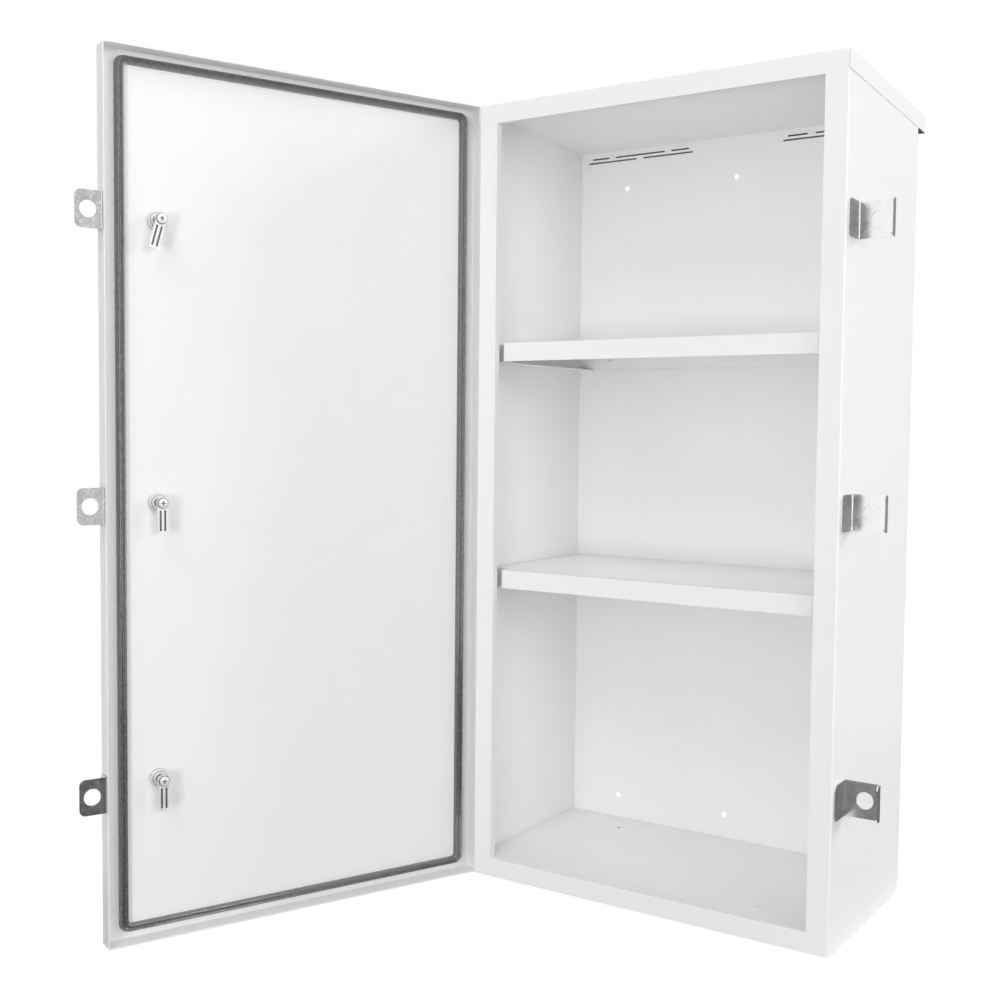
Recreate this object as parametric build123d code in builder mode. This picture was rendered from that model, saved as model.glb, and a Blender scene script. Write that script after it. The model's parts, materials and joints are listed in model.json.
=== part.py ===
from build123d import *
from math import cos, radians, sin
import os

os.makedirs("parts", exist_ok=True)

# A roadside equipment cabinet of folded sheet metal, shown with its door open. The origin is the centre
# of the bolt pattern in its back: +X is to the right, +Y goes into the wall or pole frame, +Z is up.

# Case, a folded and welded box with a framed opening
case_width = 580
case_depth = 314
case_height = 1200
sheet = 1.5
bend_radius = 2.5
side_flange = 32
sill = 28.5
frame_lip = 12
weld_gap = 0.3

# Holes in the back for the wall or the pole frame, three columns in two rows
back_hole = 9
back_hole_columns = 3
back_hole_pitch_x = 200
back_hole_rise = 67
back_hole_drop = 83

# Vent slots under the ceiling, behind the drip edge of the roof
vent_height = 2.8
vent_short = 33
vent_long = 93
vent_gap = 12
vent_centre = 177
vent_drop = 10
vent_pitch = 6.4

# Roof cap, which falls to the back and hangs over it
cap_sheet = 1.5
roof_fall = 15
roof_overhang = 31
roof_skirt = 25.5
roof_edge_radius = 1.2

# Floor plate, level with the sill
floor_flange = 12
floor_hole = 7
floor_hole_pitch_x = 336
floor_hole_pitch_y = 215
floor_hole_setback = 42

# Shelves, folded trays whose front tongue reaches between the frame's lips
shelf_heights = {"upper": 837.5, "lower": 484.5}
shelf_sheet = 1.5
shelf_flange = 28
shelf_gap = 1
shelf_setback = 13.5
shelf_notch = 42
tongue_gap = 4
tongue_radius = 6
shelf_hole = 6
shelf_hole_spread = 227
shelf_hole_drop = 12

# Support angles, spot welded to the side walls
support_sheet = 1.5
support_height = 31
support_ledge = 29
support_tab = 28.5
support_chamfer = 8
support_setback = 20

# Door, a pan whose four returns lap over the case
door_lap_side = 6.5
door_lap_end = 6
door_depth = 28.2
open_angle = 112.4

# Gasket, a foam ring on the inside of the door
gasket_side_width = 13.5
gasket_end_width = 11.8
gasket_height = 8.6
gasket_gap = 0.3
gasket_inset_hinge = 9
gasket_inset_free = 15.5
gasket_inset_top = 2.2
gasket_inset_bottom = 4.5
gasket_radius = 13.5
gasket_inner_radius = 5
gasket_groove = 3
gasket_groove_depth = 2

# Continuous hinge on the left side, with cranked leaves
pin_radius = 1.5
pin_clearance = 0.05
hinge_sheet = 1.5
hinge_setback = 5.9
rim_clearance = 0.3
knuckle_pitch = 47
knuckle_count = 24
knuckle_gap = 0.4
window_gap = 1.2
leaf_width = 25
crank_length = 6

# Padlock hasps, three pairs of bent plates
hasp_sheet = 2
hasp_bend = 3
hasp_rise = 597
hasp_pitch = 389
door_hasp_hole = 22.5
door_hasp_hole_reach = 26.8
door_hasp_reach = 37.5
door_hasp_height = 49.3
door_hasp_base = 28
door_hasp_radius = 8.5
door_hasp_chamfer = 8
case_hasp_hole = 23.5
case_hasp_hole_reach = 28.8
case_hasp_height = 50
case_hasp_reach = 50
case_hasp_setback = 6.5
case_hasp_plane = 50
case_hasp_lip = 15
case_hasp_radius = 8
case_hasp_lip_radius = 6

# Quarter turn latches, worked with a triangular key
latch_inset = 72
latch_rise = 599
latch_pitch = 384
upper_cam_tilt = 15.5
housing_flange = 30
housing_height = 5
housing_chamfer = 1.5
housing_body = 20
housing_length = 10.5
housing_hole_gap = 0.1
nut_diameter = 24
nut_height = 8
nut_chamfer = 0.8
spindle_head = 16
spindle_head_height = 1.5
spindle_shaft = 10
key_radius = 5
key_height = 3
cam_standoff = 23
cam_thickness = 3
cam_hub = 17
cam_arm = 14
cam_reach = 42
cam_corner = 1.5
cam_groove = 2.6
cam_groove_spacing = 6.4
cam_groove_length = 28
cam_groove_start = 10
cam_groove_depth = 1.8
screw_diameter = 6
screw_length = 14
screw_head = 13
screw_head_height = 3
screw_head_dome = 1.2
cross_length = 6.4
cross_width = 1.5
cross_depth = 1.8

# Places that follow from the sizes
right = case_width / 2
front = -case_depth
back_hole_pitch_z = case_height - back_hole_rise - back_hole_drop
bottom = -back_hole_rise - back_hole_pitch_z / 2
top = bottom + case_height
middle = bottom + case_height / 2
sill_level = bottom + sill
opening_width = case_width - 2 * side_flange
opening_height = case_height - 2 * sill
inner_right = right - sheet
inner_back = -sheet
door_inner = front - gasket_height - gasket_gap
door_face = door_inner - sheet
door_rim = door_face + door_depth
door_edge = right + door_lap_side
barrel_radius = pin_radius + hinge_sheet
pin_x = -right - hinge_setback
pin_y = door_rim + rim_clearance + barrel_radius
latch_x = right - latch_inset
latch_heights = {"upper": latch_pitch, "middle": 0, "lower": -latch_pitch}
cam_tilts = {"upper": upper_cam_tilt, "middle": 0, "lower": 0}
hasp_heights = {"upper": hasp_pitch, "middle": 0, "lower": -hasp_pitch}


def on_door(plane):
    """A plane drawn where it lies with the door shut, swung open with the door about its hinge pin"""
    swing = Pos(pin_x, pin_y) * Rot(Z=-open_angle) * Pos(-pin_x, -pin_y)
    return Plane(swing * plane.location)


def roof_line(y):
    """Height of the roof's upper face, y behind the back of the case"""
    return top - roof_fall * (y - front) / case_depth


def ceiling_line(y):
    """Height of the ceiling's upper face, on which the roof cap lies"""
    return roof_line(y) - cap_sheet


door_front = on_door(Plane.XZ.offset(-door_face))
door_outward = Axis(door_front.origin, door_front.z_dir)
door_along = Axis(door_front.origin, door_front.x_dir)

# Case shell: a tube of sheet cut to the slope of the roof, with ceiling, opening, lips, holes and vents
with BuildPart() as case_shell:
    with BuildSketch(Plane.XY.offset(bottom)):
        with Locations((0, front / 2)):
            RectangleRounded(case_width, case_depth, bend_radius)
            RectangleRounded(
                case_width - 2 * sheet, case_depth - 2 * sheet, bend_radius - sheet, mode=Mode.SUBTRACT
            )
    extrude(amount=case_height)
    with BuildSketch(Plane.YZ):
        with BuildLine():
            Polyline(
                (front + sheet, ceiling_line(front + sheet)),
                (sheet, ceiling_line(sheet)),
                (sheet, top + sheet),
                (front + sheet, top + sheet),
                close=True,
            )
        make_face()
    extrude(amount=case_width, both=True, mode=Mode.SUBTRACT)
    with BuildSketch(Plane.YZ):
        with BuildLine():
            Polyline(
                (front + sheet, ceiling_line(front + sheet)),
                (inner_back, ceiling_line(inner_back)),
                (inner_back, ceiling_line(inner_back) - sheet),
                (front + sheet, ceiling_line(front + sheet) - sheet),
                close=True,
            )
        make_face()
    extrude(amount=inner_right, both=True)
    with BuildSketch(Plane.XZ.offset(-front)):
        with Locations((0, middle)):
            Rectangle(opening_width, opening_height)
    extrude(amount=-sheet, mode=Mode.SUBTRACT)
    with BuildSketch(Plane.XZ.offset(-front)):
        with Locations((0, middle)):
            Rectangle(opening_width + 2 * sheet, opening_height + 2 * sheet)
            Rectangle(opening_width, opening_height, mode=Mode.SUBTRACT)
        with Locations((0, sill_level - sheet / 2)):
            Rectangle(case_width, sheet, mode=Mode.SUBTRACT)
    extrude(amount=-frame_lip)
    with BuildSketch(Plane.XZ):
        with GridLocations(back_hole_pitch_x, back_hole_pitch_z, back_hole_columns, 2):
            Circle(back_hole / 2)
        upper_row = ceiling_line(inner_back) - sheet - vent_drop
        lower_row = upper_row - vent_pitch
        outer_step = (vent_long + vent_short) / 2 + vent_gap
        inner_step = (vent_long + vent_gap) / 2
        for vent_x in (-vent_centre, vent_centre):
            with Locations((vent_x - outer_step, upper_row), (vent_x + outer_step, upper_row)):
                SlotOverall(vent_short, vent_height)
            with Locations(
                (vent_x, upper_row), (vent_x - inner_step, lower_row), (vent_x + inner_step, lower_row)
            ):
                SlotOverall(vent_long, vent_height)
    extrude(amount=sheet, mode=Mode.SUBTRACT)
case_shell.part.label = "case_shell"
export_step(case_shell.part, "parts/case_shell.step")

# Floor plate: a shallow tray turned upside down between the walls, with four holes for equipment
floor_width = case_width - 2 * sheet - 2 * weld_gap
floor_depth = case_depth - 2 * sheet - weld_gap
with BuildPart() as floor_plate:
    with BuildSketch(Plane.XY.offset(sill_level)):
        with Locations((0, front + sheet + floor_depth / 2)):
            RectangleRounded(floor_width, floor_depth, bend_radius)
    extrude(amount=-floor_flange)
    offset(amount=-sheet, openings=floor_plate.faces().sort_by(Axis.Z)[0])
    with BuildSketch(Plane.XY.offset(sill_level)):
        with Locations((0, front + floor_hole_setback + floor_hole_pitch_y / 2)):
            with GridLocations(floor_hole_pitch_x, floor_hole_pitch_y, 2, 2):
                Circle(floor_hole / 2)
    extrude(amount=-sheet, mode=Mode.SUBTRACT)
floor_plate.part.label = "floor_plate"
export_step(floor_plate.part, "parts/floor_plate.step")

# Roof cap: one sheet with a skirt down each side and a drip edge at the rear, open at the front
inner_rear = roof_overhang - cap_sheet
with BuildPart() as roof_cap:
    with BuildSketch(Plane.YZ):
        with BuildLine():
            Polyline(
                (front, roof_line(front)),
                (roof_overhang, roof_line(roof_overhang)),
                (roof_overhang, roof_line(roof_overhang) - roof_skirt),
                (front, roof_line(front) - roof_skirt),
                close=True,
            )
        make_face()
    extrude(amount=right + cap_sheet, both=True)
    roof_edges = roof_cap.faces().sort_by(Axis.Z)[-1].edges()
    fillet(
        [roof_edges.sort_by(Axis.X)[0], roof_edges.sort_by(Axis.X)[-1], roof_edges.sort_by(Axis.Y)[-1]],
        roof_edge_radius,
    )
    with BuildSketch(Plane.YZ):
        with BuildLine():
            Polyline(
                (front, ceiling_line(front)),
                (inner_rear, ceiling_line(inner_rear)),
                (inner_rear, ceiling_line(inner_rear) - roof_skirt),
                (front, ceiling_line(front) - roof_skirt),
                close=True,
            )
        make_face()
    extrude(amount=right, both=True, mode=Mode.SUBTRACT)
    with BuildSketch(Plane.XZ.offset(-front)):
        with Locations((0, top)):
            Rectangle(case_width, 2 * roof_skirt)
    extrude(amount=-sheet, mode=Mode.SUBTRACT)
roof_cap.part.label = "roof_cap"
export_step(roof_cap.part, "parts/roof_cap.step")

# Shelves: trays with a flange turned down all round, resting on the ledges of the support angles
shelf_width = 2 * (inner_right - shelf_gap)
shelf_rear = inner_back - shelf_gap
shelf_shoulder = front + shelf_notch
shelf_front = front + shelf_setback
for level, height in shelf_heights.items():
    shelf_top = bottom + height
    with BuildPart() as shelf:
        with BuildSketch(Plane.XY.offset(shelf_top)) as shelf_outline:
            with Locations((0, shelf_shoulder)):
                Rectangle(shelf_width, shelf_rear - shelf_shoulder, align=(Align.CENTER, Align.MIN))
                Rectangle(
                    opening_width - 2 * tongue_gap,
                    shelf_shoulder - shelf_front,
                    align=(Align.CENTER, Align.MAX),
                )
            fillet(shelf_outline.vertices().group_by(Axis.Y)[0], tongue_radius)
            fillet(shelf_outline.vertices().group_by(Axis.Y)[-1], bend_radius)
        extrude(amount=-shelf_flange)
        offset(amount=-shelf_sheet, openings=shelf.faces().sort_by(Axis.Z)[0])
        with BuildSketch(Plane.XZ.offset(-shelf_rear)):
            with Locations((0, shelf_top - shelf_hole_drop)):
                with GridLocations(2 * shelf_hole_spread, 0, 2, 1):
                    Circle(shelf_hole / 2)
        extrude(amount=shelf_sheet, mode=Mode.SUBTRACT)
    shelf.part.label = level + "_shelf"
    export_step(shelf.part, "parts/" + level + "_shelf.step")

# Shelf supports: angles with a ledge on top and a tab turned in against the back wall
support_front = front + support_setback
for side_name, side in (("left", -1), ("right", 1)):
    wall = side * inner_right
    for level, height in shelf_heights.items():
        ledge = bottom + height - shelf_flange
        with BuildPart() as support:
            with BuildSketch(Plane.XZ.offset(-support_front)):
                with BuildLine():
                    Polyline(
                        (wall, ledge),
                        (wall - side * support_ledge, ledge),
                        (wall - side * support_ledge, ledge - support_sheet),
                        (wall - side * support_sheet, ledge - support_sheet),
                        (wall - side * support_sheet, ledge - support_height),
                        (wall, ledge - support_height),
                        close=True,
                    )
                make_face()
            extrude(amount=support_front - inner_back)
            with BuildSketch(Plane.XZ.offset(-inner_back)):
                with BuildLine():
                    Polyline(
                        (wall, ledge),
                        (wall - side * support_tab, ledge),
                        (wall - side * support_tab, ledge - support_height + support_chamfer),
                        (wall - side * (support_tab - support_chamfer), ledge - support_height),
                        (wall, ledge - support_height),
                        close=True,
                    )
                make_face()
            extrude(amount=support_sheet)
            long_bend = support.edges().filter_by(Axis.Y).sort_by_distance((wall, front / 2, ledge))[0]
            rear_bend = support.edges().filter_by(Axis.Z).sort_by_distance((wall, inner_back, ledge))[0]
            fillet([long_bend, rear_bend], bend_radius)
        support.part.label = level + "_" + side_name + "_support"
        export_step(support.part, "parts/" + level + "_" + side_name + "_support.step")

# Door pan: one sheet folded to a shallow tray, drilled for the latches
with BuildPart() as door_pan:
    with BuildSketch(door_front):
        with Locations((0, middle)):
            Rectangle(2 * door_edge, case_height + 2 * door_lap_end)
    extrude(amount=-door_depth)
    rim_edges = door_pan.faces().sort_by(door_outward)[0].edges()
    fillet(door_pan.edges() - rim_edges, bend_radius)
    offset(amount=-sheet, openings=door_pan.faces().sort_by(door_outward)[0])
    with BuildSketch(door_front):
        with Locations((latch_x, bottom + latch_rise)):
            with GridLocations(0, latch_pitch, 1, len(latch_heights)):
                Circle(housing_body / 2 + housing_hole_gap)
    extrude(amount=-sheet, mode=Mode.SUBTRACT)
door_pan.part.label = "door_pan"
export_step(door_pan.part, "parts/door_pan.step")

# Door gasket: a foam ring that the frame of the opening presses on, grooved along its middle
gasket_x = case_width - gasket_inset_hinge - gasket_inset_free
gasket_z = case_height - gasket_inset_top - gasket_inset_bottom
gasket_centre = (
    (gasket_inset_hinge - gasket_inset_free) / 2,
    middle + (gasket_inset_bottom - gasket_inset_top) / 2,
)
groove_x = gasket_x - gasket_side_width + gasket_groove
groove_z = gasket_z - gasket_end_width + gasket_groove
groove_radius = gasket_radius - (gasket_end_width - gasket_groove) / 2
with BuildPart() as door_gasket:
    with BuildSketch(on_door(Plane.XZ.offset(-door_inner))):
        with Locations(gasket_centre):
            RectangleRounded(gasket_x, gasket_z, gasket_radius)
            RectangleRounded(
                gasket_x - 2 * gasket_side_width,
                gasket_z - 2 * gasket_end_width,
                gasket_inner_radius,
                mode=Mode.SUBTRACT,
            )
    extrude(amount=-gasket_height)
    with BuildSketch(on_door(Plane.XZ.offset(-door_inner - gasket_height))):
        with Locations(gasket_centre):
            RectangleRounded(groove_x, groove_z, groove_radius)
            RectangleRounded(
                groove_x - 2 * gasket_groove,
                groove_z - 2 * gasket_groove,
                gasket_inner_radius,
                mode=Mode.SUBTRACT,
            )
    extrude(amount=gasket_groove_depth, mode=Mode.SUBTRACT)
door_gasket.part.label = "door_gasket"
export_step(door_gasket.part, "parts/door_gasket.step")

# Hinge: two cranked leaves whose knuckles take turns on one long pin. Each leaf is extruded with its
# barrel in full, and windows are then cut for the knuckles of the other.
hinge_length = knuckle_pitch * knuckle_count
hinge_bottom = middle - hinge_length / 2
window_height = knuckle_pitch + knuckle_gap
with BuildPart() as hinge_case_leaf:
    with BuildSketch(Plane.XY.offset(hinge_bottom)):
        with BuildLine():
            Polyline(
                (pin_x + barrel_radius, pin_y),
                (pin_x + barrel_radius, pin_y + barrel_radius),
                (-right, pin_y + barrel_radius + crank_length),
                (-right, pin_y + leaf_width),
                (-right - hinge_sheet, pin_y + leaf_width),
                (-right - hinge_sheet, pin_y + barrel_radius + crank_length),
                (pin_x + pin_radius, pin_y + barrel_radius),
                (pin_x + pin_radius, pin_y),
                close=True,
            )
        make_face()
        with Locations((pin_x, pin_y)):
            Circle(barrel_radius)
            Circle(pin_radius + pin_clearance, mode=Mode.SUBTRACT)
    extrude(amount=hinge_length)
    with BuildSketch(Plane.YZ.offset(pin_x)):
        with Locations((pin_y, middle + knuckle_pitch / 2)):
            with GridLocations(0, 2 * knuckle_pitch, 1, knuckle_count // 2):
                Rectangle(2 * (barrel_radius + window_gap), window_height)
    extrude(amount=2 * barrel_radius, both=True, mode=Mode.SUBTRACT)
hinge_case_leaf.part.label = "hinge_case_leaf"
export_step(hinge_case_leaf.part, "parts/hinge_case_leaf.step")

with BuildPart() as hinge_door_leaf:
    with BuildSketch(on_door(Plane.XY.offset(hinge_bottom))):
        with BuildLine():
            Polyline(
                (pin_x - barrel_radius, pin_y),
                (pin_x - barrel_radius, pin_y - barrel_radius / 2),
                (-door_edge - hinge_sheet, pin_y - barrel_radius - hinge_sheet),
                (-door_edge - hinge_sheet, pin_y - leaf_width),
                (-door_edge, pin_y - leaf_width),
                (-door_edge, pin_y - barrel_radius - hinge_sheet),
                (pin_x - pin_radius, pin_y - barrel_radius / 2),
                (pin_x - pin_radius, pin_y),
                close=True,
            )
        make_face()
        with Locations((pin_x, pin_y)):
            Circle(barrel_radius)
            Circle(pin_radius + pin_clearance, mode=Mode.SUBTRACT)
    extrude(amount=hinge_length)
    with BuildSketch(on_door(Plane.YZ.offset(pin_x))):
        with Locations((pin_y, middle - knuckle_pitch / 2)):
            with GridLocations(0, 2 * knuckle_pitch, 1, knuckle_count // 2):
                Rectangle(2 * (barrel_radius + window_gap), window_height)
    extrude(amount=2 * barrel_radius, both=True, mode=Mode.SUBTRACT)
hinge_door_leaf.part.label = "hinge_door_leaf"
export_step(hinge_door_leaf.part, "parts/hinge_door_leaf.step")

with BuildPart() as hinge_pin:
    with BuildSketch(Plane.XY.offset(hinge_bottom)):
        with Locations((pin_x, pin_y)):
            Circle(pin_radius)
    extrude(amount=hinge_length)
hinge_pin.part.label = "hinge_pin"
export_step(hinge_pin.part, "parts/hinge_pin.step")

# Door hasps: L plates spot welded to the free edge of the door, level with its rim
for place, height in hasp_heights.items():
    hasp_level = bottom + hasp_rise + height
    with BuildPart() as door_hasp:
        with BuildSketch(on_door(Plane.XY.offset(hasp_level - door_hasp_height / 2))):
            with BuildLine():
                Polyline(
                    (door_edge, door_rim),
                    (door_edge + door_hasp_reach, door_rim),
                    (door_edge + door_hasp_reach, door_rim - hasp_sheet),
                    (door_edge + hasp_sheet, door_rim - hasp_sheet),
                    (door_edge + hasp_sheet, door_rim - door_hasp_base),
                    (door_edge, door_rim - door_hasp_base),
                    close=True,
                )
            make_face()
        extrude(amount=door_hasp_height)
        upright = door_hasp.edges().filter_by(Axis.Z)
        corner = on_door(Plane((door_edge, door_rim, hasp_level))).origin
        bends = upright.sort_by_distance(corner)
        fillet(bends[0], hasp_bend)
        fillet(bends[1], hasp_bend - hasp_sheet)
        fillet(
            door_hasp.edges().filter_by(door_outward).group_by(door_along)[-1],
            door_hasp_radius,
        )
        chamfer(
            door_hasp.edges().filter_by(door_along).group_by(door_outward)[-1],
            door_hasp_chamfer,
        )
        with BuildSketch(on_door(Plane.XZ.offset(-door_rim))):
            with Locations((right + door_hasp_hole_reach, hasp_level)):
                Circle(door_hasp_hole / 2)
        extrude(amount=hasp_sheet, mode=Mode.SUBTRACT)
    door_hasp.part.label = place + "_door_hasp"
    export_step(door_hasp.part, "parts/" + place + "_door_hasp.step")

# Case hasps: U plates spot welded to the side of the case, with a lip that shields the padlock
hasp_plane = front + case_hasp_plane
hasp_end = right + case_hasp_reach
for place, height in hasp_heights.items():
    hasp_level = bottom + hasp_rise + height
    with BuildPart() as case_hasp:
        with BuildSketch(Plane.XY.offset(hasp_level - case_hasp_height / 2)):
            with BuildLine():
                Polyline(
                    (right, front + case_hasp_setback),
                    (right, hasp_plane),
                    (hasp_end, hasp_plane),
                    (hasp_end, hasp_plane - case_hasp_lip),
                    (hasp_end - hasp_sheet, hasp_plane - case_hasp_lip),
                    (hasp_end - hasp_sheet, hasp_plane - hasp_sheet),
                    (right + hasp_sheet, hasp_plane - hasp_sheet),
                    (right + hasp_sheet, front + case_hasp_setback),
                    close=True,
                )
            make_face()
        extrude(amount=case_hasp_height)
        upright = case_hasp.edges().filter_by(Axis.Z)
        for corner_x in (right, hasp_end):
            fillet(upright.sort_by_distance((corner_x, hasp_plane, hasp_level))[0], hasp_bend)
        for corner_x in (right + hasp_sheet, hasp_end - hasp_sheet):
            corner = (corner_x, hasp_plane - hasp_sheet, hasp_level)
            inner_bend = case_hasp.edges().filter_by(Axis.Z).sort_by_distance(corner)[0]
            fillet(inner_bend, hasp_bend - hasp_sheet)
        base_corners = case_hasp.edges().filter_by(Axis.X).group_by(Axis.Y)[0]
        fillet(base_corners, case_hasp_radius)
        lip_corners = case_hasp.edges().filter_by(Axis.X).group_by(Axis.X)[-1].group_by(Axis.Y)[0]
        fillet(lip_corners, case_hasp_lip_radius)
        with BuildSketch(Plane.XZ.offset(-hasp_plane)):
            with Locations((right + case_hasp_hole_reach, hasp_level)):
                Circle(case_hasp_hole / 2)
        extrude(amount=hasp_sheet, mode=Mode.SUBTRACT)
    case_hasp.part.label = place + "_case_hasp"
    export_step(case_hasp.part, "parts/" + place + "_case_hasp.step")

# Latches: a turned housing through the door sheet, its nut inside, and a spindle that carries the cam
spindle_bore = spindle_shaft / 2 + pin_clearance
screw_bore = screw_diameter / 2 + pin_clearance
for place, height in latch_heights.items():
    latch_level = bottom + latch_rise + height
    latch_section = on_door(Plane((latch_x, door_face, latch_level), (1, 0, 0), (0, 0, 1)))
    latch_axis = Axis(latch_section.origin, latch_section.y_dir)
    tilt = radians(cam_tilts[place])
    cam_place = (latch_x, door_face + cam_standoff, latch_level)
    cam_back = on_door(Plane(cam_place, (sin(tilt), 0, -cos(tilt)), (0, 1, 0)))

    with BuildPart() as housing:
        with BuildSketch(latch_section):
            with BuildLine():
                Polyline(
                    (spindle_head / 2 + pin_clearance, -housing_height),
                    (housing_flange / 2 - housing_chamfer, -housing_height),
                    (housing_flange / 2, -housing_height + housing_chamfer),
                    (housing_flange / 2, 0),
                    (housing_body / 2, 0),
                    (housing_body / 2, housing_length),
                    (spindle_bore, housing_length),
                    (spindle_bore, 0),
                    (spindle_head / 2 + pin_clearance, 0),
                    close=True,
                )
            make_face()
        revolve(axis=latch_axis)
    housing.part.label = place + "_latch_housing"
    export_step(housing.part, "parts/" + place + "_latch_housing.step")

    with BuildPart() as nut:
        with BuildSketch(latch_section):
            with BuildLine():
                Polyline(
                    (housing_body / 2 + pin_clearance, sheet),
                    (nut_diameter / 2, sheet),
                    (nut_diameter / 2, sheet + nut_height - nut_chamfer),
                    (nut_diameter / 2 - nut_chamfer, sheet + nut_height),
                    (housing_body / 2 + pin_clearance, sheet + nut_height),
                    close=True,
                )
            make_face()
        revolve(axis=latch_axis)
    nut.part.label = place + "_latch_nut"
    export_step(nut.part, "parts/" + place + "_latch_nut.step")

    with BuildPart() as spindle:
        with BuildSketch(latch_section):
            with BuildLine():
                Polyline(
                    (0, -spindle_head_height),
                    (spindle_head / 2, -spindle_head_height),
                    (spindle_head / 2, 0),
                    (spindle_shaft / 2, 0),
                    (spindle_shaft / 2, cam_standoff),
                    (screw_bore, cam_standoff),
                    (screw_bore, cam_standoff - screw_length),
                    (0, cam_standoff - screw_length),
                    close=True,
                )
            make_face()
        revolve(axis=latch_axis)
        with BuildSketch(on_door(Plane.XZ.offset(spindle_head_height - door_face))):
            with Locations((latch_x, latch_level)):
                RegularPolygon(key_radius, 3)
        extrude(amount=key_height)
    spindle.part.label = place + "_latch_spindle"
    export_step(spindle.part, "parts/" + place + "_latch_spindle.step")

    with BuildPart() as cam:
        with BuildSketch(cam_back) as cam_outline:
            Rectangle(cam_reach, cam_arm, align=(Align.MIN, Align.CENTER))
            fillet(cam_outline.vertices().group_by(Axis.X)[-1], cam_corner)
            Circle(cam_hub / 2)
            Circle(screw_bore, mode=Mode.SUBTRACT)
        extrude(amount=cam_thickness)
        with BuildSketch(cam_back.offset(cam_thickness)):
            with Locations((cam_groove_start + cam_groove_length / 2, 0)):
                with GridLocations(0, cam_groove_spacing, 1, 2):
                    Rectangle(cam_groove_length, cam_groove)
        extrude(amount=-cam_groove_depth, mode=Mode.SUBTRACT)
    cam.part.label = place + "_latch_cam"
    export_step(cam.part, "parts/" + place + "_latch_cam.step")

    head_base = cam_standoff + cam_thickness
    head_top = head_base + screw_head_height
    with BuildPart() as screw:
        with BuildSketch(latch_section):
            with BuildLine():
                head_arc = ThreePointArc(
                    (0, head_top),
                    (screw_head / 4, head_top - screw_head_dome / 4),
                    (screw_head / 2, head_top - screw_head_dome),
                )
                Polyline(
                    head_arc @ 1,
                    (screw_head / 2, head_base),
                    (screw_diameter / 2, head_base),
                    (screw_diameter / 2, head_base - cam_thickness - screw_length + screw_head_dome),
                    (0, head_base - cam_thickness - screw_length + screw_head_dome),
                    head_arc @ 0,
                )
            make_face()
        revolve(axis=latch_axis)
        with BuildSketch(cam_back.offset(head_top - cam_standoff)):
            Rectangle(cross_length, cross_width)
            Rectangle(cross_width, cross_length)
        extrude(amount=-cross_depth, mode=Mode.SUBTRACT)
    screw.part.label = place + "_latch_screw"
    export_step(screw.part, "parts/" + place + "_latch_screw.step")
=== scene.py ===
import json
from math import cos, pi, radians, sin
import bpy
from mathutils import Matrix, Vector, noise


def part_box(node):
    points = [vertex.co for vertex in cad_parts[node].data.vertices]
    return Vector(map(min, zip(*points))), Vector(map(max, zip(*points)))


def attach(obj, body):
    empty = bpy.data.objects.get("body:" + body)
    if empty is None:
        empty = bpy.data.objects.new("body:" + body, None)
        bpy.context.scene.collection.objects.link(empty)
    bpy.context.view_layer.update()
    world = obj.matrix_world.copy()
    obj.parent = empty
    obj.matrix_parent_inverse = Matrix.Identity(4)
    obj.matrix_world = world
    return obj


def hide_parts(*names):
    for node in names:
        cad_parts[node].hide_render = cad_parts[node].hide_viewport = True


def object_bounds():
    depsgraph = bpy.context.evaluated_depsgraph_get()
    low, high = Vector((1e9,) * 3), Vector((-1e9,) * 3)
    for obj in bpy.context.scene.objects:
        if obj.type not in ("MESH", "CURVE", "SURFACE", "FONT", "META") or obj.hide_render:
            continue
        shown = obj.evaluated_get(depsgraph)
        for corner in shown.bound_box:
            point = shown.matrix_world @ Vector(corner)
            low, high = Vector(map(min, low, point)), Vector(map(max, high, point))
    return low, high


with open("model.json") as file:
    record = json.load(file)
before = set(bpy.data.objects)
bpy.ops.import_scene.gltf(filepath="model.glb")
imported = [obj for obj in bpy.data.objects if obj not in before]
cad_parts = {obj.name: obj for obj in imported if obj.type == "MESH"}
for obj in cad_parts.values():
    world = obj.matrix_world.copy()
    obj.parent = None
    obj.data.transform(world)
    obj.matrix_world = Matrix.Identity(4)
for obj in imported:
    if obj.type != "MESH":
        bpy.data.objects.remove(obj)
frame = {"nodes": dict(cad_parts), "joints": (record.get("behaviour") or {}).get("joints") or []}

cad_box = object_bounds()
nodes = frame["nodes"]
joints = {joint["name"]: joint for joint in frame["joints"]}

# Case shell: a tube of folded sheet steel, closed by a ceiling and welded at its corners, with a framed
# opening in front. It is powder coated in a satin white, baked on, with the fine orange peel of powder.
paint_white = (0.888, 0.888, 0.883, 1)
paint_shade = (0.872, 0.874, 0.872, 1)
paint_gloss = 0.42
paint_density = 1.5
sheet_edge = 0.0004
peel_scale = 620
peel_detail = 2.0
peel_depth = 0.00004
drift_scale = 4.5
drift_detail = 3.0
drift_span = (0.36, 0.6)
dimple_peels = 2.0
dimple_share = 0.12
dimple_grey = (0.45, 0.45, 0.44, 1)
seam_reach = 0.000002
flat_angle = 0.4
edge_angle = 35
edge_steps = 2


def plug(tree, node, values):
    """Puts these values or links on the node's inputs"""
    for name, value in values.items():
        if isinstance(value, bpy.types.NodeSocket):
            tree.links.new(value, node.inputs[name])
        else:
            node.inputs[name].default_value = value


def add(tree, kind, values):
    """A new shader node, with these values or links on its inputs"""
    node = tree.nodes.new("ShaderNode" + kind)
    plug(tree, node, values)
    return node


def work_out(tree, operation, first, second=0.0, third=0.0):
    """The result of one sum on numbers or sockets"""
    node = add(tree, "Math", {0: first, 1: second, 2: third})
    node.operation = operation
    return node.outputs[0]


def rescale(tree, value, span, ends=(0.0, 1.0)):
    """The value, moved from its place in the span to the same place between the ends"""
    low, high = span
    first, last = ends
    limits = {"From Min": low, "From Max": high, "To Min": first, "To Max": last}
    return add(tree, "MapRange", {"Value": value, **limits}).outputs["Result"]


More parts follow.
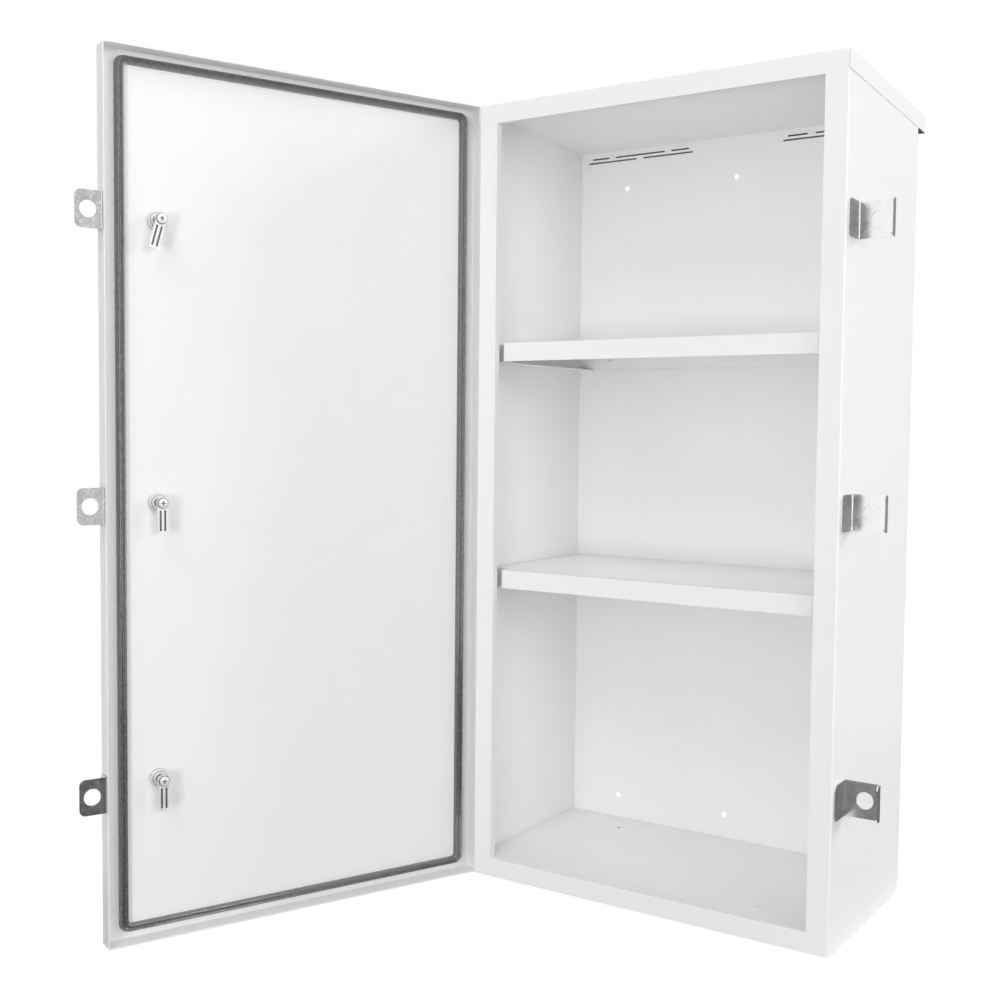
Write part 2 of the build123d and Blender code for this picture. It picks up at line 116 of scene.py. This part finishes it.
def grain(tree, place, scale, detail):
    """Cloudy noise between nothing and one"""
    return add(tree, "TexNoise", {"Vector": place, "Scale": scale, "Detail": detail}).outputs["Fac"]


def blend(tree, share, first, second):
    """A colour that goes from the first to the second as the share goes from nothing to one"""
    node = tree.nodes.new("ShaderNodeMix")
    node.data_type = "RGBA"
    plug(tree, node, {0: share, 6: first, 7: second})
    return node.outputs[2]


def ramp(tree, factor, span, colours):
    """A colour that goes from the first to the second as the factor crosses the span"""
    node = add(tree, "ValToRGB", {"Fac": factor})
    for element, place, colour in zip(node.color_ramp.elements, span, colours):
        element.position = place
        element.color = colour
    return node.outputs["Color"]


def new_finish(name, **inputs):
    """A material, its shader with these inputs set, and the place of each point on the piece"""
    material = bpy.data.materials.new(name)
    material.use_nodes = True
    tree = material.node_tree
    shader = tree.nodes["Principled BSDF"]
    for words, value in inputs.items():
        shader.inputs[words.replace("_", " ")].default_value = value
    place = tree.nodes.new("ShaderNodeTexCoord").outputs["Object"]
    return material, tree, shader, place


def emboss(tree, shader, height, depth):
    """Raises the surface by the height times the depth"""
    bump = add(tree, "Bump", {"Height": height, "Strength": 1.0, "Distance": depth})
    tree.links.new(bump.outputs["Normal"], shader.inputs["Normal"])


def spot_marks(tree, place, spots, radius):
    """One at the middle of each spot, falling to nothing at its radius"""
    total = 0.0
    for spot in spots:
        gap = add(tree, "VectorMath", {0: place, 1: spot})
        gap.operation = "DISTANCE"
        mark = rescale(tree, gap.outputs["Value"], (radius, radius / 2))
        total = work_out(tree, "ADD", mark, total)
    return total


def powder_coat(name, light, shade, gloss, spots=(), spot_radius=0.0):
    """Baked powder with orange peel and a faint drift in its shade. Spot welds show through as dimples."""
    material, tree, shader, place = new_finish(name, IOR=paint_density, Roughness=gloss)
    height = grain(tree, place, peel_scale, peel_detail)
    shades = ramp(tree, grain(tree, place, drift_scale, drift_detail), drift_span, (shade, light))
    if spots:
        marks = spot_marks(tree, place, spots, spot_radius)
        height = work_out(tree, "MULTIPLY_ADD", marks, -dimple_peels, height)
        shades = blend(tree, work_out(tree, "MULTIPLY", marks, dimple_share), shades, dimple_grey)
    tree.links.new(shades, shader.inputs["Base Color"])
    emboss(tree, shader, height, peel_depth)
    return material


def finish_plate(name, material, edge):
    """Paints a piece and breaks its cut edges, with the faces beside them still shaded flat"""
    piece = nodes[name]
    piece.data.materials.clear()
    piece.data.materials.append(material)
    piece.data.polygons.foreach_set("use_smooth", [True] * len(piece.data.polygons))
    weld = piece.modifiers.new("weld", "WELD")
    weld.merge_threshold = seam_reach
    flat = piece.modifiers.new("flat", "DECIMATE")
    flat.decimate_type = "DISSOLVE"
    flat.angle_limit = radians(flat_angle)
    bevel = piece.modifiers.new("edge", "BEVEL")
    bevel.width = edge
    bevel.segments = edge_steps
    bevel.angle_limit = radians(edge_angle)
    bevel.use_clamp_overlap = True
    normals = piece.modifiers.new("normals", "WEIGHTED_NORMAL")
    normals.keep_sharp = True


case_paint = powder_coat("case_paint", paint_white, paint_shade, paint_gloss)
finish_plate("case_shell", case_paint, sheet_edge)

# Floor plate: a shallow tray of the same sheet, coated with the case and welded in level with the sill.
finish_plate("floor_plate", case_paint, sheet_edge)

# Roof cap: one sheet, folded down at its sides and rear, coated before it is fixed on the case. Its inward
# faces in the gap behind its drip edge are painted a dark grey, as painted shade.
painted_gap_shade = (0.22, 0.22, 0.215, 1)
gap_start = 0.0005
inward_facing = -0.7
roof_paint = powder_coat("roof_paint", paint_white, paint_shade, paint_gloss)
tree = roof_paint.node_tree
colour = tree.nodes["Principled BSDF"].inputs["Base Color"]
face = tree.nodes.new("ShaderNodeNewGeometry").outputs
facing = add(tree, "SeparateXYZ", {"Vector": face["Normal"]}).outputs
place = add(tree, "SeparateXYZ", {"Vector": face["Position"]}).outputs
lowest = work_out(tree, "MINIMUM", facing["Y"], facing["Z"])
inward = work_out(tree, "LESS_THAN", lowest, inward_facing)
behind = work_out(tree, "GREATER_THAN", place["Y"], gap_start)
gap_shade_mask = work_out(tree, "MULTIPLY", inward, behind)
# Painted shade: the inward faces behind the drip edge take a dark grey.
tree.links.new(blend(tree, gap_shade_mask, colour.links[0].from_socket, painted_gap_shade), colour)
finish_plate("roof_cap", roof_paint, sheet_edge)

# Shelves: folded trays, coated in the same powder, that lie loose on the support angles.
shelf_gloss = 0.38
shelf_paint = powder_coat("shelf_paint", paint_white, paint_shade, shelf_gloss)
for level in ("upper", "lower"):
    finish_plate(level + "_shelf", shelf_paint, sheet_edge)

# Support angles: short angles of folded sheet, spot welded to the side walls and coated with the case.
# Each weld leaves a shallow dimple in the paint.
weld_radius = 0.0032
weld_drop = 0.018
weld_places = (0.055, 0.108, 0.175, 0.24)
support_sheet = 0.0015
case_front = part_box("case_shell")[0].y
for level in ("upper", "lower"):
    for side in ("left", "right"):
        name = level + "_" + side + "_support"
        low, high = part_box(name)
        spots = []
        for step in weld_places:
            for x in (low.x, high.x, low.x + support_sheet, high.x - support_sheet):
                spots.append((x, case_front + step, high.z - weld_drop))
        paint = powder_coat(name + "_paint", paint_white, paint_shade, paint_gloss, spots, weld_radius)
        finish_plate(name, paint, sheet_edge)

# Door pan: one sheet folded to a tray, coated on both sides with the case.
finish_plate("door_pan", case_paint, sheet_edge)

# Door gasket: soft foam poured as a bead on the inside of the door, where it sets with a skin, in two
# rounded ridges with a furrow between them. It shines a little and its skin is finely pitted.
gasket_dark = (0.055, 0.056, 0.058, 1)
gasket_light = (0.105, 0.106, 0.109, 1)
gasket_side = 0.0135
gasket_end = 0.0118
gasket_radii = (0.005, 0.0135)
gasket_step = 0.0025
gasket_rows = 22
gasket_corner_steps = 8
ridge_fullness = 3
ridge_power = 0.6
furrow_share = 0.42
furrow_width = 0.26
ridge_wave = 0.00022
wave_scale = 90
wave_rows = 200
foam_coat = 1.0
foam_coat_gloss = 0.1
foam_coat_density = 2.0
foam_gloss_span = (0.2, 0.42)
skin_scale = 260.0
skin_detail = 2.0
skin_span = (0.4, 0.65)
pit_scale = 1400.0
pit_detail = 3.0
pit_span = (0.35, 0.65)
pit_depth = 0.00006
hinge_joint = joints["door_hinge"]
door_turn = radians(-hinge_joint["range_deg"][0])
door_swing = Matrix.Rotation(-door_turn, 4, "Z")
hinge_place = Vector(hinge_joint["pos_m"])
door_open = Matrix.Translation(hinge_place) @ door_swing @ Matrix.Translation(-hinge_place)


def shut_box(name):
    """Lowest and highest corner of a piece on the door, with the door swung shut"""
    places = [door_open.inverted() @ vertex.co for vertex in nodes[name].data.vertices]
    low = Vector([min(place[axis] for place in places) for axis in range(3)])
    high = Vector([max(place[axis] for place in places) for axis in range(3)])
    return low, high


def rounded_frame(middle, half_width, half_height, radius, side_steps, corner_steps):
    """Points round a rectangle with round corners, as many on each side whatever its size"""
    points = []
    corners = ((1, 1, 0), (-1, 1, 90), (-1, -1, 180), (1, -1, 270))
    for number, (side_x, side_z, start) in enumerate(corners):
        corner_x = middle.x + side_x * (half_width - radius)
        corner_z = middle.z + side_z * (half_height - radius)
        for step in range(corner_steps + 1):
            angle = radians(start + 90 * step / corner_steps)
            points.append(Vector((corner_x + radius * cos(angle), 0, corner_z + radius * sin(angle))))
        next_x, next_z, _ = corners[(number + 1) % len(corners)]
        angle = radians(start + 90)
        end_x = middle.x + next_x * (half_width - radius) + radius * cos(angle)
        end_z = middle.z + next_z * (half_height - radius) + radius * sin(angle)
        begin = points[-1]
        steps = side_steps[number % 2]
        for step in range(1, steps):
            points.append(begin.lerp(Vector((end_x, 0, end_z)), step / steps))
    return points


def swept_mesh(name, rings):
    """A closed skin over rings of points, each joined to the next and the last to the first"""
    mesh = bpy.data.meshes.new(name)
    around = len(rings[0])
    faces = []
    for row in range(len(rings)):
        near = row * around
        far = (row + 1) % len(rings) * around
        for step in range(around):
            ahead = (step + 1) % around
            faces.append((near + step, near + ahead, far + ahead, far + step))
    mesh.from_pydata([point for ring in rings for point in ring], [], faces)
    mesh.polygons.foreach_set("use_smooth", [True] * len(mesh.polygons))
    mesh.update()
    piece = bpy.data.objects.new(name, mesh)
    bpy.context.scene.collection.objects.link(piece)
    return piece


gasket_low, gasket_high = shut_box("door_gasket")
gasket_middle = (gasket_low + gasket_high) / 2
gasket_half = (gasket_high - gasket_low) / 2
gasket_height = gasket_high.y - gasket_low.y
gasket_sides = (int(2 * gasket_half.x / gasket_step), int(2 * gasket_half.z / gasket_step))
gasket_rings = []
for row in range(gasket_rows + 1):
    across = -cos(pi * row / gasket_rows)
    inward = (1 - across) / 2
    radius = gasket_radii[0] + (gasket_radii[1] - gasket_radii[0]) * (1 + across) / 2
    half_x = gasket_half.x - gasket_side * inward
    half_z = gasket_half.z - gasket_end * inward
    ring = rounded_frame(gasket_middle, half_x, half_z, radius, gasket_sides, gasket_corner_steps)
    crown = max(0.0, 1 - abs(across) ** ridge_fullness) ** ridge_power
    furrow = furrow_share * 2 ** (-((across / furrow_width) ** 2))
    for point in ring:
        wave = ridge_wave * noise.noise(Vector((point.x, across / wave_rows, point.z)) * wave_scale)
        point.y = gasket_low.y + (gasket_height + wave) * crown * (1 - furrow)
    gasket_rings.append([door_open @ point for point in ring])
gasket = swept_mesh("foam_gasket", gasket_rings)
gasket_foam, tree, shader, place = new_finish(
    "gasket_foam", Coat_Weight=foam_coat, Coat_Roughness=foam_coat_gloss, Coat_IOR=foam_coat_density
)
pits = grain(tree, place, pit_scale, pit_detail)
skin = grain(tree, place, skin_scale, skin_detail)
tree.links.new(ramp(tree, skin, skin_span, (gasket_dark, gasket_light)), shader.inputs["Base Color"])
tree.links.new(rescale(tree, pits, pit_span, foam_gloss_span), shader.inputs["Roughness"])
emboss(tree, shader, pits, pit_depth)
gasket.data.materials.append(gasket_foam)
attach(gasket, "door")
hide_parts("door_gasket")

# Hinge: two leaves of rolled steel, curled into knuckles round one long pin, zinc plated.
hinge_light = (0.66, 0.66, 0.65, 1)
hinge_shade = (0.55, 0.55, 0.54, 1)
hinge_gloss = 0.3
hinge_edge = 0.0002
cloud_scale = 75.0
cloud_detail = 4.0
cloud_span = (0.35, 0.65)
cloud_gloss_span = (0.3, 0.7)
cloud_gloss_ends = (0.75, 1.3)
speck_scale = 380.0
speck_detail = 2.0
speck_span = (0.59, 0.65)
speck_share = 0.35
speck_light = (0.9, 0.9, 0.9, 1)
speck_height = 0.8
roll_stretch = (1.0, 1.0, 14.0)
roll_scale = 160.0
roll_detail = 3.0
roll_height = 0.25
zinc_depth = 0.00005
zinc_dimple = 4.0
painted_recess_shade = (0.10, 0.10, 0.10, 1)
recess_shade_span = (0.62, 0.93)
recess_shade_samples = 8
black = (0, 0, 0, 1)
white = (1, 1, 1, 1)


def plated_steel(name, light, shade, gloss, spots=(), spot_radius=0.0, shade_reach=0.0, metal=1.0):
    """Zinc plate on steel: cloudy, fine rolling lines, specks, weld dimples and painted shade in its recesses
    """
    material, tree, shader, place = new_finish(name, Metallic=metal)
    cloud = grain(tree, place, cloud_scale, cloud_detail)
    speck = grain(tree, place, speck_scale, speck_detail)
    rolled = add(tree, "Mapping", {"Vector": place, "Scale": roll_stretch}).outputs["Vector"]
    lines = grain(tree, rolled, roll_scale, roll_detail)
    shades = ramp(tree, cloud, cloud_span, (shade, light))
    specks = ramp(tree, speck, speck_span, (black, white))
    surface = blend(tree, work_out(tree, "MULTIPLY", specks, speck_share), shades, speck_light)
    # Painted shade: ambient occlusion darkens the colour in recesses, such as the cams' grooves.
    if shade_reach:
        occlusion = add(tree, "AmbientOcclusion", {"Color": surface, "Distance": shade_reach})
        occlusion.samples = recess_shade_samples
        clear = rescale(tree, occlusion.outputs["AO"], recess_shade_span)
        surface = blend(tree, clear, painted_recess_shade, surface)
    tree.links.new(surface, shader.inputs["Base Color"])
    gloss_ends = [gloss * end for end in cloud_gloss_ends]
    tree.links.new(rescale(tree, cloud, cloud_gloss_span, gloss_ends), shader.inputs["Roughness"])
    raised = work_out(tree, "MULTIPLY", specks, speck_height)
    height = work_out(tree, "MULTIPLY_ADD", lines, roll_height, raised)
    if spots:
        dimples = spot_marks(tree, place, spots, spot_radius)
        height = work_out(tree, "MULTIPLY_ADD", dimples, -zinc_dimple, height)
    emboss(tree, shader, height, zinc_depth)
    return material


hinge_steel = plated_steel("hinge_steel", hinge_light, hinge_shade, hinge_gloss)
for name in ("hinge_case_leaf", "hinge_door_leaf", "hinge_pin"):
    finish_plate(name, hinge_steel, hinge_edge)

# Hasps: bent plates of zinc plated steel, spot welded to the door's edge and to the side of the case, one
# pair at each latch, for a padlock through both. The welds leave two dimples in each case hasp's base.
# Painted light: the case hasps take a lighter copy of the zinc plate, for the bright light they mirror.
lit_case_hasp_light = (0.92, 0.92, 0.92, 1)
lit_case_hasp_shade = (0.88, 0.88, 0.885, 1)
case_hasp_gloss = 0.2
# Painted shade: the door hasps take a darker copy of the same zinc plate, for the duller light they mirror.
shaded_door_hasp_light = (0.52, 0.525, 0.53, 1)
shaded_door_hasp_shade = (0.43, 0.435, 0.44, 1)
door_hasp_gloss = 0.22
hasp_edge = 0.00025
hasp_sheet = 0.002
hasp_weld_radius = 0.0022
hasp_weld_step = 0.0125
hasp_weld_setback = 0.0122
places = ("upper", "middle", "lower")
hasp_spots = []
for place_name in places:
    low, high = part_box(place_name + "_case_hasp")
    middle = (low.z + high.z) / 2
    for step in (-hasp_weld_step, hasp_weld_step):
        hasp_spots.append((low.x + hasp_sheet, low.y + hasp_weld_setback, middle + step))
lit_case_hasp_steel = plated_steel(
    "lit_case_hasp_steel", lit_case_hasp_light, lit_case_hasp_shade, case_hasp_gloss, hasp_spots, hasp_weld_radius
)
shaded_door_hasp_steel = plated_steel("shaded_door_hasp_steel", shaded_door_hasp_light, shaded_door_hasp_shade, door_hasp_gloss)
for place_name in places:
    finish_plate(place_name + "_case_hasp", lit_case_hasp_steel, hasp_edge)
    finish_plate(place_name + "_door_hasp", shaded_door_hasp_steel, hasp_edge)

# Latches: quarter turns of die cast zinc, bright plated. A nut holds each housing to the door, and a screw
# holds the grooved cam on the end of its spindle.
cast_light = (0.85, 0.85, 0.85, 1)
cast_shade = (0.78, 0.78, 0.78, 1)
cast_gloss = 0.4
cast_metal = 0.4
cast_edge = 0.00025
# Painted shade reaches this far into the cams' grooves and the other recesses.
groove_shade_reach = 0.003
latch_plate = plated_steel(
    "latch_plate", cast_light, cast_shade, cast_gloss, shade_reach=groove_shade_reach, metal=cast_metal
)
for place_name in places:
    for part in ("housing", "nut", "spindle", "cam", "screw"):
        finish_plate(place_name + "_latch_" + part, latch_plate, cast_edge)

# Studio: a white floor that keeps a faint shadow, white behind it, and soft lamps above, in front and at the
# sides. Only reflections show its four grey boards, mostly those in the plated hasps, and its three glint
# lamps, mostly those on the gasket's skin.
floor_grey = (0.45, 0.45, 0.45, 1)
floor_glow = 1.3
floor_reach = 30.0
floor_gap = 0.002
shadow_share = 0.25
air_light = 0.4
dark_grey = 0.13
rear_grey = 0.3
board_gap = 0.001
cabinet_middle = (0, -0.3, 0)
soft_size = 2.4
bay_lamp_levels = (-0.33, 0.055, 0.42)
bay_lamp_aim = 0.2
bay_lamp_size = (0.44, 0.22)
bay_lamp_power = 0.145
tall_glint_size = (0.3, 2.4)


def light_path(tree):
    """One for rays from the camera and those that mirrors and glass pass on, and nothing for the others"""
    path = tree.nodes.new("ShaderNodeLightPath").outputs
    mirrored = work_out(tree, "MAXIMUM", path["Is Camera Ray"], path["Is Glossy Ray"])
    return work_out(tree, "MAXIMUM", mirrored, path["Is Transmission Ray"])


def panel(name, middle, across, upward, material):
    """A flat four sided sheet, from its middle and its two half sides"""
    mesh = bpy.data.meshes.new(name)
    middle, across, upward = Vector(middle), Vector(across), Vector(upward)
    low, high = middle - upward, middle + upward
    mesh.from_pydata([low - across, low + across, high + across, high - across], [], [(0, 1, 2, 3)])
    mesh.materials.append(material)
    piece = bpy.data.objects.new(name, mesh)
    bpy.context.scene.collection.objects.link(piece)
    return piece


floor_paint = bpy.data.materials.new("floor_paint")
floor_paint.use_nodes = True
tree = floor_paint.node_tree
tree.nodes.remove(tree.nodes["Principled BSDF"])
matt_floor = add(tree, "BsdfDiffuse", {"Color": floor_grey})
white_floor = add(tree, "Emission", {"Color": white, "Strength": floor_glow})
glow_share = work_out(tree, "MULTIPLY", light_path(tree), 1 - shadow_share)
finishes = {1: matt_floor.outputs["BSDF"], 2: white_floor.outputs["Emission"]}
floor_mix = add(tree, "MixShader", {0: glow_share, **finishes})
tree.links.new(floor_mix.outputs["Shader"], tree.nodes["Material Output"].inputs["Surface"])
floor_level = cad_box[0].z - floor_gap
panel("floor", (0, 0, floor_level), (floor_reach, 0, 0), (0, floor_reach, 0), floor_paint)


def board(name, grey, middle, across, upward):
    """A matt board that only the rays of shiny surfaces meet"""
    material = new_finish(name + "_paint", Base_Color=(grey, grey, grey, 1), Roughness=1.0)[0]
    piece = panel(name, middle, across, upward, material)
    piece.visible_camera = False
    piece.visible_diffuse = False
    piece.visible_shadow = False
    piece.visible_transmission = False


board_level = floor_level + board_gap
board("low_board", dark_grey, middle=(0.25, -1.35, board_level), across=(1.1, 0, 0), upward=(0, 0.75, 0))
board("side_board", dark_grey, middle=(1.15, 0.3, board_level), across=(0.83, 0, 0), upward=(0, 0.9, 0))
board("front_board", dark_grey, middle=(1.45, -3.2, 0.3), across=(0.85, 0, 0), upward=(0, 0, 1.2))
board("rear_board", rear_grey, middle=(1.25, 1.5, 0.1), across=(1.0, 0, 0), upward=(0, 0, 1.1))

world = bpy.data.worlds.new("studio")
bpy.context.scene.world = world
world.use_nodes = True
tree = world.node_tree
brightness = work_out(tree, "MULTIPLY_ADD", light_path(tree), 1 - air_light, air_light)
plug(tree, tree.nodes["Background"], {"Color": white, "Strength": brightness})


def lamp(name, place, power, aim=cabinet_middle, size=(soft_size, soft_size), glint=False):
    """A soft lamp, turned to what it lights. A glint shows only as a shine, and any other lamp never does."""
    light = bpy.data.lights.new(name, "AREA")
    light.shape = "RECTANGLE"
    light.size, light.size_y = size
    light.energy = power
    holder = bpy.data.objects.new(name, light)
    bpy.context.scene.collection.objects.link(holder)
    holder.location = place
    holder.rotation_mode = "QUATERNION"
    holder.rotation_quaternion = (Vector(aim) - Vector(place)).to_track_quat("-Z", "Y")
    holder.visible_camera = False
    holder.visible_glossy = glint
    holder.visible_diffuse = not glint


lamp("front_lamp", place=(1.0, -6.0, 0.9), power=28)
lamp("right_lamp", place=(5.2, -2.6, 1.0), power=86)
lamp("high_lamp", place=(0.6, -3.8, 4.0), power=74)
lamp("rear_right_lamp", place=(4.0, 2.2, 1.2), power=98)
lamp("rear_left_lamp", place=(-4.0, 2.6, 1.6), power=60)
lamp("low_lamp", place=(0.8, -4.5, -0.3), power=34, size=(0.6, 0.6))
for number, level in enumerate(bay_lamp_levels):
    place = (0, cabinet_middle[1], level)
    lamp("bay_lamp_" + str(number), place, bay_lamp_power, aim=(0, bay_lamp_aim, level), size=bay_lamp_size)
lamp("high_glint_lamp", (2.2, -0.2, 2.8), 14, aim=(-0.3, -0.5, 0), size=(0.5, 0.5), glint=True)
lamp("near_glint_lamp", (2.6, -2.3, 0.3), 14, aim=(-0.3, -0.6, 0.3), size=tall_glint_size, glint=True)
lamp("far_glint_lamp", (2.6, 0.9, 0.5), 20, aim=(-0.3, -0.6, 0.5), size=tall_glint_size, glint=True)

# Camera: in front of the cabinet and to its right, at the photograph's viewing angle.
camera_place = (0.8517, -1.9571, 0.1120)
camera_azimuth = radians(33.752)
camera_elevation = radians(3.159)
camera_roll = radians(0.57)
camera_lens = 46.03
camera_film = 36
camera_near = 0.05
camera_rise = sin(camera_elevation)
camera_reach = cos(camera_elevation)
backward = Vector((sin(camera_azimuth) * camera_reach, -cos(camera_azimuth) * camera_reach, camera_rise))
level_right = Vector((cos(camera_azimuth), sin(camera_azimuth), 0))
level_up = backward.cross(level_right)
camera_right = level_right * cos(camera_roll) + level_up * sin(camera_roll)
camera_up = level_up * cos(camera_roll) - level_right * sin(camera_roll)
camera = bpy.data.objects.new("camera", bpy.data.cameras.new("camera"))
bpy.context.scene.collection.objects.link(camera)
camera.data.lens = camera_lens
camera.data.sensor_width = camera_film
camera.data.clip_start = camera_near
camera.rotation_mode = "QUATERNION"
camera.rotation_quaternion = Matrix((camera_right, camera_up, backward)).transposed().to_quaternion()
camera.location = camera_place
bpy.context.scene.camera = camera
bpy.context.scene.view_settings.view_transform = "Standard"
